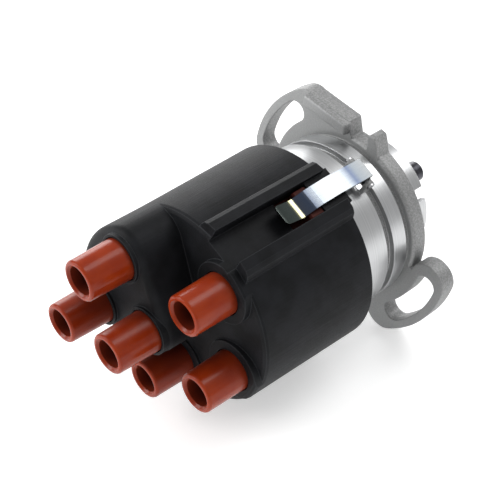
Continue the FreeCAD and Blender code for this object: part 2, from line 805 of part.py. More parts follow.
def make_circlip():
    """Open retaining ring in the shaft's seat."""
    inner = "shaft_radius - circlip_seat_depth"
    low = "circlip_low"
    high = "circlip_low + circlip_thickness"
    ring = turned("circlip_ring", [
        (inner, low), ("circlip_radius", low), ("circlip_radius", high), (inner, high)])
    gap = block("circlip_gap", "0", "circlip_radius + face_gap", "circlip_opening",
                f"{low} - face_gap", f"{high} + face_gap", "250")
    finish(cut("circlip", ring, [gap]), "shaft_circlip")


def make_dog():
    """Drive dog with its tongue, the groove of its spring ring and the pin hole."""
    groove = "(dog_radius - dog_groove_depth)"
    half = "(dog_groove_depth + face_gap)"
    body = turned("dog_body", [
        ("shaft_radius", "dog_high"), ("dog_radius - dog_edge / 2", "dog_high"),
        ("dog_radius", "dog_high - dog_edge / 2"), ("dog_radius", f"dog_pin_height + {half}"),
        (groove, f"dog_pin_height + {half}"), (groove, f"dog_pin_height - {half}"),
        ("dog_radius", f"dog_pin_height - {half}"), ("dog_radius", "dog_middle + dog_edge / 2"),
        ("dog_radius - dog_edge / 2", "dog_middle"), ("shaft_radius", "dog_middle")])
    tongue = [block("tongue_bar", "0 - tongue_centre", "tongue_centre", "2 * tongue_radius", "dog_low",
                    "dog_middle", "tongue_angle")]
    for side in (-1, 1):
        x, y = polar(f"{side} * tongue_centre", "tongue_angle")
        tongue.append(cylinder(f"tongue_end_{side + 1}", "tongue_radius", "dog_low", "dog_middle", x, y))
    tongue_edge = rounded("tongue_edge", fuse("tongue", tongue), "dog_edge", is_tongue_rim, "Part::Chamfer")
    hole = cross_pin("dog_cross_hole", "dog_pin_radius", "3 * dog_radius", "0", "dog_pin_height", "90")
    finish(cut("dog", fuse("dog_solid", [body, tongue_edge]), [hole]), "drive_dog")
    pin = cross_pin("dog_cross_pin", "dog_pin_radius", f"2 * {groove} - 2 * face_gap", "0",
                    "dog_pin_height", "90")
    finish(pin, "dog_pin")
    finish(wire_ring("dog_ring", "dog_radius", "(dog_groove_depth - face_gap)", "dog_pin_height"),
           "dog_spring_ring")


def is_tongue_rim(edge):
    """The rear rim of the dog's tongue."""
    low = number("dog_low")
    return all(abs(vertex.Z - low) < 0.01 for vertex in edge.Vertexes)


def make_trigger_wheel():
    """Steel trigger wheel: hub, disc and five hanging vanes."""
    body = turned("trigger_body", [
        ("shaft_radius", "trigger_disc_top - trigger_hub_length"),
        ("trigger_hub_radius", "trigger_disc_top - trigger_hub_length"),
        ("trigger_hub_radius", "trigger_disc_low"), ("vane_radius", "trigger_disc_low"),
        ("vane_radius", "trigger_disc_top"), ("shaft_radius", "trigger_disc_top")])
    vane_low = "(trigger_disc_top - vane_drop)"
    sheet_outer = cylinder("vane_outer", "vane_radius", vane_low, "trigger_disc_top",
                           sweep="vane_sweep", turn="rotor_angle")
    sheet_inner = cylinder("vane_inner", "vane_radius - vane_thickness", vane_low, "trigger_disc_top")
    vane = cut("vane", sheet_outer, [sheet_inner])
    vanes = [vane]
    for index in range(1, 5):
        copy = cylinder(f"vane_outer_{index}", "vane_radius", vane_low, "trigger_disc_top",
                        sweep="vane_sweep", turn=f"(rotor_angle + {index} * tower_pitch)")
        core = cylinder(f"vane_inner_{index}", "vane_radius - vane_thickness", vane_low, "trigger_disc_top")
        vanes.append(cut(f"vane_{index}", copy, [core]))
    x, y = polar("shaft_radius", "rotor_angle")
    hole = cylinder("trigger_pin_hole", "trigger_pin_radius",
                    "trigger_disc_top - trigger_hub_length - face_gap", "trigger_disc_top + face_gap", x, y)
    finish(cut("trigger", fuse("trigger_solid", [body] + vanes), [hole]), "trigger_wheel")
    pin = cylinder("trigger_key", "trigger_pin_radius", "trigger_disc_top - trigger_hub_length",
                   "trigger_disc_top", x, y)
    finish(pin, "trigger_pin")


def make_sensor():
    """Base plate, Hall sensor with its magnet, and the plate's screws."""
    plate = turned("plate_disc", [
        ("plate_hole_radius", "plate_seat"), ("cup_bore - seat_gap", "plate_seat"),
        ("cup_bore - seat_gap", "plate_high"), ("plate_hole_radius", "plate_high")])
    holes = []
    screws = []
    for side in range(2):
        x, y = polar("plate_screw_circle", f"(plate_screw_angle + {180 * side})")
        holes.append(cylinder(f"plate_hole_{side}", "plate_screw_radius + screw_clearance",
                              "plate_seat - face_gap", "plate_high + face_gap", x, y))
        shank = cylinder(f"plate_screw_shank_{side}", "plate_screw_radius",
                         "plate_high - plate_screw_length", "plate_high", x, y)
        head = cylinder(f"plate_screw_head_{side}", "plate_screw_head_radius", "plate_high",
                        "plate_high + plate_screw_head_height", x, y)
        slot = block(f"plate_screw_slot_{side}", "plate_screw_circle - plate_screw_head_radius",
                     "plate_screw_circle + plate_screw_head_radius", "plate_screw_radius / 2",
                     "plate_high + plate_screw_head_height / 2",
                     "plate_high + plate_screw_head_height + face_gap",
                     f"(plate_screw_angle + {180 * side})")
        screws.append(cut(f"plate_screw_{side}", fuse(f"plate_screw_solid_{side}", [shank, head]), [slot]))
    finish(cut("plate", plate, holes), "sensor_plate")
    finish(fuse("screws", screws), "plate_screws")
    base = block("sensor_base", "sensor_inner", "sensor_outer", "sensor_width",
                 "plate_high", "sensor_base_high", "180")
    leg = block("sensor_leg", "sensor_leg_start", "sensor_outer", "sensor_width",
                "plate_high", "sensor_high", "180")
    finish(fuse("sensor", [base, leg]), "hall_sensor")
    magnet = block("magnet_block", "sensor_inner", "sensor_inner + magnet_thickness", "magnet_width",
                   "sensor_base_high", "sensor_high", "180")
    finish(magnet, "sensor_magnet")


def make_connector():
    """Connector socket with three blades, screwed to the housing's pad."""
    flange = block("socket_flange", "pad_depth", "socket_face", "socket_flange_width",
                   "socket_centre - socket_flange_height / 2",
                   "socket_centre + socket_flange_height / 2", "180")
    tube = block("socket_tube", "socket_face", "socket_mouth", "socket_width",
                 "socket_centre - socket_height / 2", "socket_centre + socket_height / 2", "180")
    neck = block("socket_neck", "sensor_outer + seat_gap", "pad_depth", "socket_neck_width",
                 "socket_centre - socket_neck_height / 2", "socket_centre + socket_neck_height / 2", "180")
    cavity = block("socket_cavity", "socket_face + socket_back", "socket_mouth + face_gap",
                   "socket_width - 2 * socket_wall",
                   "socket_centre - socket_height / 2 + socket_wall",
                   "socket_centre + socket_height / 2 - socket_wall", "180")
    cuts = [cavity]
    blades = []
    screws = []
    for index in range(3):
        aside = f"{index - 1} * blade_pitch"
        blades.append(blade(f"blade_{index}", aside))
        cuts.append(blade(f"blade_slot_{index}", aside))
    for side, tag in ((-1, "left"), (1, "right")):
        aside = f"{side} * socket_screw_offset"
        cuts.append(outward_pin(f"socket_hole_{tag}", "socket_screw_radius + screw_clearance",
                                "pad_depth - face_gap", "socket_face + face_gap", "180", aside,
                                "socket_centre"))
        shank = outward_pin(f"socket_screw_shank_{tag}", "socket_screw_radius",
                            "pad_depth - socket_screw_length + face_gap", "socket_face", "180", aside,
                            "socket_centre")
        head = outward_pin(f"socket_screw_head_{tag}", "socket_screw_head_radius", "socket_face",
                           "socket_face + socket_screw_head_height", "180", aside, "socket_centre")
        screws.append(fuse(f"socket_screw_{tag}", [shank, head]))
    solid = fuse("socket_solid", [flange, tube, neck])
    finish(cut("socket", solid, cuts), "connector_socket")
    finish(fuse("blades", blades), "connector_blades")
    finish(fuse("socket_screws", screws), "connector_screws")


def blade(name, aside):
    return block(name, "socket_face + socket_back - blade_tail", "socket_face + socket_back + blade_reach",
                 "blade_thickness", "socket_centre - blade_width / 2", "socket_centre + blade_width / 2",
                 "180", aside)


def make_dust_cover():
    """Thin cover between the sensor chamber and the rotor, with a stiffening rib."""
    edge = "cover_recess - seat_gap / 2"
    rib = "cover_rib_radius"
    crest = "cup_high + cover_thickness"
    cover = turned("cover_disc", [
        ("cover_hole_radius", "cover_low"), (edge, "cover_low"), (edge, "cup_high"),
        (f"{rib} + 3 * cover_thickness", "cup_high"), (f"{rib} + cover_thickness", crest),
        (f"{rib} - cover_thickness", crest), (f"{rib} - 3 * cover_thickness", "cup_high"),
        ("cover_hole_radius", "cup_high")])
    finish(cover, "dust_cover")


def make_inner_cap():
    """Terracotta cap: skirt, wall, ceiling and six towers with their sockets."""
    skirt_low = "(cup_high - cap_skirt_length)"
    body = turned("inner_cap_body", [
        ("cap_bore_radius", "cup_high"), ("cup_radius + cap_skirt_gap", "cup_high"),
        ("cup_radius + cap_skirt_gap", skirt_low), ("cap_skirt_radius", skirt_low),
        ("cap_skirt_radius", "cup_high"), ("cap_wall_radius", "cup_high + 2 * cap_skirt_gap"),
        ("cap_wall_radius - cap_skirt_gap", "cap_roof - 2"), ("cap_wall_radius - 2", "cap_roof"),
        ("0", "cap_roof"), ("0", "cap_ceiling"), ("cap_bore_radius", "cap_ceiling")])
    flats = []
    ledges = []
    for side in range(2):
        turn = f"(clip_angle + {180 * side})"
        flats.append(block(f"cap_flat_{side}", "flat_depth", "cap_skirt_radius + flat_depth", "flat_width",
                           f"{skirt_low} - face_gap", "shell_inside + face_gap", turn))
        ledges.append(side_prism(f"cap_ledge_{side}", [
            ("cap_bore_radius + face_gap", "ledge_low"), ("ledge_reach", "ledge_low"),
            ("ledge_reach", "ledge_high - ledge_bevel"), ("ledge_reach - ledge_bevel", "ledge_high"),
            ("cap_bore_radius + face_gap", "ledge_high")], "ledge_width", turn))
    guide = cylinder("brush_guide", "brush_guide_radius", "cap_ceiling - brush_guide_drop", "cap_roof")
    posts = [guide]
    shoulders = []
    bores = [cylinder("brush_bore", "brush_bore_radius", "cap_ceiling - brush_guide_drop - face_gap",
                      "brush_bore_high")]
    bores.append(cylinder("centre_stem_hole", "electrode_stem_radius", "brush_bore_high", "high_tip"))
    for index in range(6):
        x, y = tower_place(index)
        taper, tip, floor = tower_heights(index)
        shoulders.append(cylinder(f"tower_shoulder_{index}", "tower_shoulder_radius", "cap_ceiling",
                                  "shell_inside", x, y))
        posts.append(tower_barrel(index, taper, tip, x, y))
        if index not in LOW_TOWERS:
            posts.append(cylinder(f"tower_column_{index}", "tower_foot_radius", "cap_ceiling", taper, x, y))
        bores.append(cylinder(f"tower_bore_{index}", "tower_bore_radius", floor, f"{tip} + face_gap", x, y))
        bores.append(cone(f"tower_mouth_{index}", "tower_bore_radius", "tower_bore_radius + tower_lip",
                          f"{tip} - tower_lip", tip, x, y))
        if index < 5:
            bores.append(cylinder(f"stem_hole_{index}", "electrode_stem_radius", "cap_ceiling", tip, x, y))
            bores.append(cylinder(f"head_hole_{index}", "electrode_head_radius", "cap_ceiling - face_gap",
                                  "electrode_high", x, y))
    flattened = cut("inner_cap_flattened", fuse("inner_cap_lower", [body] + shoulders), flats)
    solid = fuse("inner_cap_solid", [flattened] + ledges + posts)
    finish(cut("inner_cap_open", solid, bores), "inner_cap")


def tower_barrel(index, taper, tip, x, y):
    """The tapered part of one tower, rounded at its tip."""
    barrel = turned(f"tower_barrel_{index}", [
        ("0", taper), ("tower_foot_radius", taper), ("tower_tip_radius", f"{tip} - tower_lip"),
        ("tower_tip_radius - tower_lip_step", f"{tip} - tower_lip_step"),
        ("tower_tip_radius - tower_lip", tip), ("0", tip)])
    return place(barrel, x, y)


def make_electrodes():
    """Five plug electrodes and the centre terminal."""
    for index in range(5):
        x, y = tower_place(index)
        floor = tower_heights(index)[2]
        head = cylinder(f"electrode_head_{index}", "electrode_head_radius", "electrode_low",
                        "electrode_high", x, y)
        stem = cylinder(f"electrode_stem_{index}", "electrode_stem_radius", "electrode_high",
                        f"{floor} + electrode_show", x, y)
        finish(fuse(f"electrode_solid_{index}", [head, stem]), f"electrode_{index + 1}")
    terminal = cylinder("centre_terminal_rod", "electrode_stem_radius", "brush_bore_high",
                        "high_bore_floor + electrode_show")
    finish(terminal, "centre_terminal")


def lobe_outline(name, shrink, centre_shrink, low, high):
    """The lobe round the two high towers and the centre tower, its back on the shell's own radius."""
    radii = {1: f"(lobe_tower_radius - {shrink})", 2: f"(lobe_tower_radius - {shrink})",
             5: f"(lobe_centre_radius - {centre_shrink})"}
    pieces = []
    for index, radius in radii.items():
        x, y = tower_place(index)
        pieces.append(cylinder(f"{name}_post_{index}", radius, low, high, x, y))
    for index in (1, 2):
        pieces.append(web(f"{name}_web_{index}", index, radii[index], radii[5], low, high))
    pieces.append(cylinder(f"{name}_fan", f"(shell_front_radius - {shrink})", low, high,
                           sweep="tower_pitch", turn="(tower_angle + tower_pitch)"))
    return fuse(name, pieces)


def web(name, index, outer, inner, low, high):
    """The straight-sided stretch between the centre circle and one tower's circle."""
    angle = f"(tower_angle + {index} * tower_pitch)"
    lean = f"asin(({outer} - {inner}) / tower_circle)"
    near_x = f"0 - {inner} * sin({lean})"
    near_y = f"{inner} * cos({lean})"
    far_x = f"tower_circle - {outer} * sin({lean})"
    far_y = f"{outer} * cos({lean})"
    return prism(name, [
        (near_x, f"0 - {near_y}"), (far_x, f"0 - {far_y}"), (far_x, far_y), (near_x, near_y)],
        low, high, angle)


def make_cap_shell():
    """Black outer cap: tapered shell, crowned face, lobe, tower bosses, channels and rails."""
    crown = "(shell_front + shell_crown_rise)"
    envelope = turned("shell_envelope", [("0", "shell_rear"), ("shell_rear_radius", "shell_rear")]
                      + softened_rim("shell_front") + [("shell_crown_radius", crown), ("0", crown)])
    limit = turned("shell_limit", [("0", "shell_rear"), ("shell_front_radius", "shell_rear")]
                   + softened_rim("boss_front") + [("0", "boss_front")])
    lobe = lobe_outline("lobe", "0", "0", "shell_inside", "lobe_front")
    lobe_round = rounded("lobe_round", lobe, "lobe_edge", is_lobe_rim)
    solids = [envelope, lobe_round]
    holes = []
    bosses = []
    collars = []
    for index in range(6):
        x, y = tower_place(index)
        holes.append(cylinder(f"shell_hole_{index}", "tower_hole", "shell_rear", "high_tip", x, y))
        if index in LOW_TOWERS:
            bosses.append(cylinder(f"shell_boss_{index}", "boss_radius", "shell_inside", "boss_front", x, y))
        else:
            collars.append(cylinder(f"shell_collar_{index}", "collar_radius", "lobe_inside",
                                    "lobe_front + collar_rise", x, y))
    solids.append(common("shell_bosses", fuse("shell_boss_group", bosses), limit))
    solids += collars
    rails = []
    channels = []
    flats = []
    for side in range(2):
        turn = f"(clip_angle + {180 * side})"
        rails += [rail(f"rail_{side}_{hand}", turn, sign) for hand, sign in (("left", -1), ("right", 1))]
        rails.append(block(f"bridge_{side}", "channel_inner", "bridge_depth", "bridge_width",
                           "bridge_rear", "window_rear", turn))
        channels.append(block(f"channel_{side}", "channel_depth", "rail_height + channel_width",
                              "channel_width", "window_front - face_gap", f"{crown} + face_gap", turn))
        channels.append(block(f"window_{side}", "cap_bore_radius - cup_wall", "rail_height + channel_width",
                              "channel_width", "window_rear", "window_front", turn))
        flats.append(block(f"inner_flat_{side}", "channel_inner", "rail_height + channel_width",
                           "flat_width - 2 * seat_gap", "bridge_rear - face_gap", "high_tip", turn))
    solid = fuse("shell_solid", solids + rails)
    bore = cylinder("shell_bore", "shell_bore_radius", "bridge_rear - face_gap", "shell_inside")
    bore_flat = cut("shell_bore_flat", bore, flats)
    lobe_hollow = lobe_outline("lobe_bore", "shell_wall", "shell_wall / 2", "shell_inside - face_gap",
                               "lobe_inside")
    finish(cut("shell", solid, [bore_flat, lobe_hollow] + channels + holes), "cap_shell")


def softened_rim(top):
    """Two bevels that stand for the rounded front rim of the shell."""
    return [("shell_front_radius", f"{top} - shell_edge"),
            ("shell_front_radius - shell_edge / 4", f"{top} - shell_edge / 3"),
            ("shell_front_radius - shell_edge", top)]


def is_lobe_rim(edge):
    """The front rim of the lobe."""
    top = number("lobe_front")
    return all(abs(vertex.Z - top) < 0.01 for vertex in edge.Vertexes) and len(edge.Vertexes) > 0


def rail(name, turn, sign):
    """One rail beside a clip channel, with a sloping top and a stepped flank."""
    inner = f"{sign} * channel_width / 2"
    foot = f"{sign} * (channel_width / 2 + rail_foot_width)"
    outline = [("channel_depth", inner), ("rail_height", inner)]
    for part in ("edge", "flank", "foot"):
        aside = f"{sign} * (channel_width / 2 + rail_{part}_width)"
        outline.append((f"channel_depth + rail_{part}_rise", aside))
    outline.append(("channel_depth", foot))
    return prism(name, outline, "shell_rear", "rail_front", turn)


def clip_profile():
    """Outer face of the clip from its rear end to the tab, as (depth, height)."""
    stations = ("rear", "bend", "crown", "front", "ridge", "valley", "heel", "tab")
    return [(f"channel_depth + clip_{station}_rise", f"clip_{station}_end") for station in stations]


def make_clips():
    """Spring clips with two cheeks round the hinge pin, and the pins."""
    outer = clip_profile()
    inner = [(f"{depth} - clip_sheet", height) for depth, height in outer]
    for side, label in enumerate(("front", "rear")):
        turn = f"(clip_angle + {180 * side})"
        strip = side_prism(f"clip_strip_{label}", outer + inner[::-1], "clip_width", turn)
        bent = rounded(f"clip_bends_{label}", strip, "clip_bend_radius", bend_between("bend", "front"))
        hooked = rounded(f"clip_hook_{label}", bent, "clip_hook_radius", bend_between("ridge", "heel"))
        tipped = rounded(f"clip_tip_{label}", hooked, "clip_tab_corner", is_tab_corner)
        cheeks = []
        for hand, sign in (("left", -1), ("right", 1)):
            cheeks.append(clip_cheek(f"clip_cheek_{label}_{hand}", turn, sign))
        hole = cross_pin(f"clip_hole_{label}", "clip_pin_radius + clip_pin_gap", "2 * clip_width",
                         "clip_pin_depth", "clip_pin_height", turn)
        solid = fuse(f"clip_solid_{label}", [tipped] + cheeks)
        finish(cut(f"clip_{label}_made", solid, [hole]), f"clip_{label}")
        make_clip_pin(label, turn)


def bend_between(first, last):
    """A test for the bend lines of a clip from one station of its outline to another."""
    low = number(f"clip_{first}_end") - 0.1
    high = number(f"clip_{last}_end") + 0.1
    width = number("clip_width")

    def chosen(edge):
        ends = [vertex.Point for vertex in edge.Vertexes]
        level = len(ends) == 2 and abs(ends[0].z - ends[1].z) < 0.01
        return level and abs(edge.Length - width) < 0.01 and low < ends[0].z < high
    return chosen


def is_tab_corner(edge):
    """The two corners at the end of a clip's tab."""
    limit = number("clip_tab_end") - 0.01
    short = abs(edge.Length - number("clip_sheet")) < 0.01
    return short and all(vertex.Z > limit for vertex in edge.Vertexes)


def clip_cheek(name, turn, sign):
    """One cheek of a clip, from the strip down round the hinge pin."""
    aside = f"{sign} * (clip_width - clip_cheek_sheet) / 2"
    web_piece = block(name + "_web", "clip_pin_depth", "clip_rear_depth - clip_sheet / 2", "clip_cheek_sheet",
                      "clip_pin_height - clip_cheek_radius / 2", "clip_pin_height + clip_cheek_radius",
                      turn, aside)
    eye = doc.addObject("Part::Cylinder", name + "_eye")
    eye.setExpression("Radius", cells("clip_cheek_radius"))
    eye.setExpression("Height", cells("clip_cheek_sheet"))
    lay_down(eye, turn, FreeCAD.Vector(0, 1, 0), "clip_pin_depth", f"({aside} - clip_cheek_sheet / 2)",
             "clip_pin_height")
    return fuse(name, [web_piece, eye])


def make_clip_pin(label, turn):
    """Hinge pin with a head outside each lug."""
    length = "(lug_span + 2 * face_gap)"
    shank = cross_pin(f"clip_pin_shank_{label}", "clip_pin_radius", f"{length} + 2 * pin_head_height",
                      "clip_pin_depth", "clip_pin_height", turn)
    head = cross_pin(f"clip_pin_heads_{label}", "pin_head_radius", f"{length} + 2 * pin_head_height",
                     "clip_pin_depth", "clip_pin_height", turn)
    waist = cross_pin(f"clip_pin_waist_{label}", "2 * pin_head_radius", length,
                      "clip_pin_depth", "clip_pin_height", turn)
    heads = cut(f"clip_pin_ends_{label}", head, [waist])
    finish(fuse(f"clip_pin_solid_{label}", [shank, heads]), f"clip_pin_{label}")


def make_rotor():
    """Rotor arm with its hub on the shaft, and the contact strip on top."""
    hub = turned("rotor_hub", [
        ("shaft_radius", "rotor_start"), ("rotor_hub_radius", "rotor_start"),
        ("rotor_hub_radius", "rotor_disc_start"), ("rotor_disc_radius", "rotor_disc_start"),
        ("rotor_disc_radius", "rotor_disc_high"), ("0", "rotor_disc_high"), ("0", "shaft_top"),
        ("shaft_radius", "shaft_top")])
    arm = block("rotor_bar", "0", "rotor_arm_reach", "rotor_arm_width", "shaft_top", "rotor_disc_high",
                "rotor_angle")
    x, y = polar("shaft_radius", "rotor_angle")
    key = cylinder("rotor_key", "trigger_pin_radius", "rotor_start", "shaft_top", x, y)
    key_trim = cut("rotor_key_trim", key, [cylinder("rotor_key_core", "trigger_pin_radius / 10",
                                                    "rotor_start", "shaft_top", "0", "0")])
    finish(fuse("rotor", [hub, arm, key_trim]), "rotor_arm")
    strip = block("contact_strip", "0", "contact_reach", "contact_width", "rotor_disc_high", "contact_high",
                  "rotor_angle")
    button = cylinder("contact_button", "contact_width / 1.6", "rotor_disc_high", "contact_high")
    finish(fuse("contact", [strip, button]), "rotor_contact")


def make_brush():
    """Carbon brush and the coil spring that presses it on the rotor's contact."""
    rod = cylinder("brush_rod", "brush_radius", "brush_low", "brush_high")
    test = round_edge_at(number("brush_radius"), number("brush_low"))
    finish(rounded("brush_bevel", rod, "brush_radius / 3", test, "Part::Chamfer"), "carbon_brush")
    spring = doc.addObject("Part::Feature", "brush_coil")
    wire = number("spring_wire")
    radius = number("brush_bore_radius - spring_wire - face_gap")
    height = number("brush_spring_length - 2 * spring_wire")
    helix = Part.makeHelix(height / number("spring_turns"), height, radius)
    corners = []
    for corner in range(7):
        angle = math.radians(60 * corner)
        corners.append(FreeCAD.Vector(radius + wire * math.cos(angle), 0, wire * math.sin(angle)))
    coil = Part.Wire(helix.Edges).makePipeShell([Part.makePolygon(corners)], True, False)
    coil.translate(FreeCAD.Vector(0, 0, number("brush_high + spring_wire")))
    spring.Shape = coil
    finish(spring, "brush_spring")


def check_and_write():
    """Stop on any failed object, then write each sub-part."""
    doc.recompute()
    for item in doc.Objects:
        if "Invalid" in item.State or "Error" in item.State:
            raise RuntimeError("failed object " + item.Name)
    for piece in finished:
        shape = piece.Shape
        if shape.isNull() or not shape.isValid() or not shape.Solids:
            raise RuntimeError("bad shape " + piece.Label)
    for piece in finished:
        piece.Shape.exportStep(f"parts/{piece.Label}.step")
        print(piece.Label, len(piece.Shape.Solids), "solid", round(piece.Shape.Volume, 1))


make_housing()
make_bushes()
make_seal()
make_pilot_ring()
make_shaft()
make_washers()
make_circlip()
make_dog()
make_trigger_wheel()
make_sensor()
make_connector()
make_dust_cover()
make_inner_cap()
make_electrodes()
make_cap_shell()
make_clips()
make_rotor()
make_brush()
check_and_write()
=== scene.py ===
import json
import math
import bpy
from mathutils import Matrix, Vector


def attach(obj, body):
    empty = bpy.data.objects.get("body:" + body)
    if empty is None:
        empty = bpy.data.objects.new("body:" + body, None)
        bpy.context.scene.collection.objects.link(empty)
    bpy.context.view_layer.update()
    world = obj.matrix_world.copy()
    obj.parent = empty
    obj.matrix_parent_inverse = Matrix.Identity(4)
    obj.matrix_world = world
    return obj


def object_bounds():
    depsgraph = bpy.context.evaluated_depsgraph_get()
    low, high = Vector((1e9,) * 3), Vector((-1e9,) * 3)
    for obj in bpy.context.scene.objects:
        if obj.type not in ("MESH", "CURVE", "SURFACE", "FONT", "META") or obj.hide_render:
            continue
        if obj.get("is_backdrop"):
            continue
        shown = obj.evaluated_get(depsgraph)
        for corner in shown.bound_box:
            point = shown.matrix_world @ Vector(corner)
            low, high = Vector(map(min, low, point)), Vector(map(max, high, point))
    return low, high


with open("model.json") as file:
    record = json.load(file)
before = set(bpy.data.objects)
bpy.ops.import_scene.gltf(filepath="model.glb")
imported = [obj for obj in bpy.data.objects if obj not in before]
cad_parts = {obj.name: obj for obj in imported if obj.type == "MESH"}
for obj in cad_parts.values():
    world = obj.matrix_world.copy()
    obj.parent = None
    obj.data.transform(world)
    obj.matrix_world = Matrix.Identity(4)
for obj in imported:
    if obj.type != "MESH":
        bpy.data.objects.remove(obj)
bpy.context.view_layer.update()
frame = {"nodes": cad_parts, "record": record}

mm = 0.001

# Ignition distributor lying on a pale floor. The shaft runs along Y: the lead towers point
# to -Y, the mounting flange's rear face is at y = 0 and the drive dog is at +Y.

cameraSetup = {
    # place, lens and sensor in millimetres; look is a direction; clip in metres
    "place": (253.10, -297.45, 290.70),
    "look": (-0.56695, 0.53106, -0.62995),
    "lens": 84.19,
    "sensor": 36.0,
    "clip": (0.01, 20.0),
}


def makeCamera(setup):
    data = bpy.data.cameras.new("photoCamera")
    camera = bpy.data.objects.new("photoCamera", data)
    bpy.context.collection.objects.link(camera)
    camera.location = Vector(setup["place"]) * mm
    camera.rotation_euler = Vector(setup["look"]).to_track_quat("-Z", "Y").to_euler()
    data.lens = setup["lens"]
    data.sensor_width = setup["sensor"]
    data.clip_start, data.clip_end = setup["clip"]
    bpy.context.scene.camera = camera
    print("camera set")


makeCamera(cameraSetup)

# A noise gathers round its middle value, so a pattern is read between these two.
noiseLow = 0.3
noiseHigh = 0.7
# rays sent out to find an edge or a hollow
raySamples = 6
# the sockets of a Mix node that is set to colours
colourA = 6
colourB = 7
colourOut = 2


def linear(hexColour):
    # sRGB hex to linear RGBA
    channels = [int(hexColour[k:k + 2], 16) / 255 for k in (1, 3, 5)]
    rgb = [c / 12.92 if c <= 0.04045 else ((c + 0.055) / 1.055) ** 2.4 for c in channels]
    return (*rgb, 1.0)


def addNode(tree, kind, settings=None, inputs=None):
    # one node with its settings, and its sockets set to values or linked to other sockets;
    # the setting "stops" is a colour ramp's list of (position, hex)
    node = tree.nodes.new(kind)
    for name, value in (settings or {}).items():
        if name == "stops":
            band = node.color_ramp.elements
            while len(band) < len(value):
                band.new(0.5)
            for element, (position, colour) in zip(band, value):
                element.position = position
                element.color = linear(colour)
        else:
            setattr(node, name, value)
    for name, value in (inputs or {}).items():
        socket = node.inputs[name]
        if isinstance(value, bpy.types.NodeSocket):
            tree.links.new(value, socket)
        else:
            socket.default_value = value
    return node


def newMaterial(name):
    material = bpy.data.materials.new(name)
    material.use_nodes = True
    material.node_tree.nodes.clear()
    return material, material.node_tree


def closeMaterial(tree, shader):
    addNode(tree, "ShaderNodeOutputMaterial", inputs={"Surface": shader.outputs["BSDF"]})


# Every plain finish has two tones that drift over a few millimetres, a fine grain that moves
# the gloss and lifts the surface, and edges that are rounded off as the real tool leaves them.
# Sizes are in millimetres; real grain is 0.05 to 0.1 mm and is drawn coarser so that it shows.
plainSetups = {
    # glass-filled polyester, spark-eroded mould: an even satin black with a fine leather grain;
    # its edges are painted paler, for rubbed wear and as a painted highlight on their rounding
    "black_moulding": {
        "name": "satinBlackPolyester", "tones": ("#131416", "#1b1c1f"), "drift": 9.0,
        "grain": 0.45, "lift": 0.035, "gloss": (0.48, 0.60), "edge": 0.55,
        "ior": 1.52, "specular": 0.11,
        # the paler edge, painted wear and highlight, starts and is full where the rounded edge leans this
        # far, as a cosine
        "gleam": {"tone": "#35373a", "start": 0.998, "full": 0.92},
        # lines along the way out of the mould, drawn coarse enough to show
        "draw": {"lift": 0.07, "width": 0.7, "stretch": 0.04},
    },
    # mineral-filled alkyd, polished mould: saturated red brown with a wet-looking highlight;
    # painted shade darkens its bores and the part inside the cap, which are also duller
    "terracotta_moulding": {
        "name": "terracottaAlkyd", "tones": ("#8c2a08", "#95310a"), "drift": 7.0,
        "grain": 0.30, "lift": 0.002, "gloss": (0.19, 0.24), "edge": 0.3,
        "ior": 1.55, "specular": 0.20,
        # painted shade in bores, recesses and inside the cap: tone is the painted shade's colour;
        # inside is the stretch of y over which the piece goes into the cap, and kept the share of its
        # colour that it keeps there
        "paintedShade": {"tone": "#33100a", "reach": 20.0, "gloss": 0.7,
                   "inside": (-80.0, -77.0), "kept": 0.3},
    },
    # glass-filled nylon: dark grey, with a stronger sheen than the cap
    "black_plastic": {
        "name": "glassFilledNylon", "tones": ("#18181a", "#202022"), "drift": 6.0,
        "grain": 0.35, "lift": 0.03, "gloss": (0.45, 0.60), "edge": 0.35, "ior": 1.53,
    },
    # nitrile rubber: black and dull, with a faint bloom
    "black_rubber": {
        "name": "nitrileRubber", "tones": ("#131313", "#1c1c1b"), "drift": 3.0,
        "grain": 0.30, "lift": 0.02, "gloss": (0.55, 0.72), "edge": 0.2, "ior": 1.50,
    },
    # ground bright steel: pale grey with a tight highlight
    "steel": {
        "name": "groundSteel", "tones": ("#b4b5b8", "#c9cacc"), "drift": 5.0, "metal": 1.0,
        "grain": 0.25, "lift": 0.006, "gloss": (0.20, 0.32), "edge": 0.2,
    },
    # phosphated and oiled steel: dark grey with a soft metal sheen
    "dark_steel": {
        "name": "phosphatedSteel", "tones": ("#3a3a3f", "#505055"), "drift": 4.0, "metal": 0.9,
        "grain": 0.35, "lift": 0.02, "gloss": (0.26, 0.40), "edge": 0.4,
    },
    # sintered bronze bush: brown and matt, with a porous grain
    "sintered_bronze": {
        "name": "sinteredBronze", "tones": ("#8d6740", "#a9804f"), "drift": 2.0, "metal": 1.0,
        "grain": 0.25, "lift": 0.05, "gloss": (0.42, 0.58), "edge": 0.2,
    },
    # turned brass electrodes: yellow with a tight highlight
    "brass": {
        "name": "turnedBrass", "tones": ("#b8924c", "#cfab62"), "drift": 4.0, "metal": 1.0,
        "grain": 0.25, "lift": 0.01, "gloss": (0.20, 0.34), "edge": 0.15,
    },
    # tinned steel sheet: pale grey with a soft spangle
    "tin_plate": {
        "name": "tinnedSheet", "tones": ("#adaeae", "#c4c5c5"), "drift": 2.5, "metal": 1.0,
        "grain": 0.30, "lift": 0.006, "gloss": (0.24, 0.40), "edge": 0.12,
    },
    # pressed carbon brush: charcoal with a dull sheen
    "carbon": {
        "name": "pressedCarbon", "tones": ("#1b1b1d", "#2a2a2d"), "drift": 1.0, "metal": 0.2,
        "grain": 0.20, "lift": 0.02, "gloss": (0.42, 0.60), "edge": 0.1,
    },
    # sintered magnet, ground on its faces: dark grey, between stone and metal
    "magnet": {
        "name": "sinteredMagnet", "tones": ("#37373a", "#4a4a4d"), "drift": 2.0, "metal": 0.7,
        "grain": 0.25, "lift": 0.02, "gloss": (0.35, 0.55), "edge": 0.15,
    },
}
# the stretch of the drift noise over which the two tones blend
driftSpan = (0.38, 0.62)


